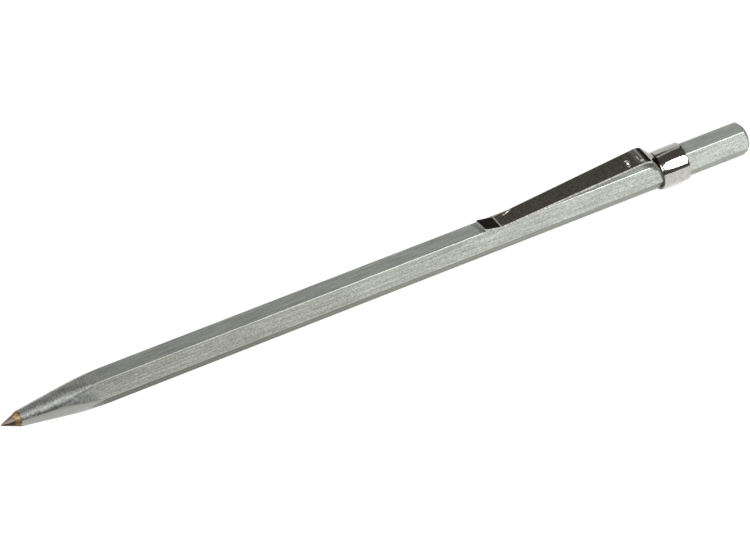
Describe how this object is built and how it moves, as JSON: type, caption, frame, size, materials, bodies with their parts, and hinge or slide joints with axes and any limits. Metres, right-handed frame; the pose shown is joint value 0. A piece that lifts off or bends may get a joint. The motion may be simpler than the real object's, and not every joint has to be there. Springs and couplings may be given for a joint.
{
  "type": "scriber",
  "caption": "Pencil-like metalworker's scriber: hexagonal steel bar, turned nose with a brazed carbide point, and a sprung pocket clip on a round sliding collar.",
  "frame": {"origin": "middle of the length and the width, at the height of the lowest point of the clip's collar", "axes": "+X along the bar from the scribing point to the butt, +Y across the bar, +Z out of the flat that the clip lies on"},
  "size_m": [0.143, 0.0072, 0.009],
  "materials": {
    "zinc_steel": "satin zinc plate with a fine drawn grain",
    "carbide": "diamond-ground tungsten carbide",
    "braze": "ground braze",
    "clip_chrome": "mirror"
  },
  "bodies": {
    "bar": {"hex_body": "zinc_steel", "carbide_tip": "carbide", "braze_fillet": "braze"},
    "collar": {"clip_collar": "clip_chrome"},
    "tongue": {"clip_tongue": "clip_chrome"}
  },
  "joints": [
    {"name": "clip_slide", "type": "slide", "parent": "bar", "child": "collar", "axis": [1, 0, 0], "range_m": [-0.068, 0.0125]},
    {"name": "clip_flex", "type": "hinge", "parent": "collar", "child": "tongue", "pos_m": [0.0532, 0, 0.007], "axis": [0, 1, 0], "range_deg": [0, 7], "stiffness_Nm_per_rad": 0.4, "springref_deg": -1.72}
  ]
}
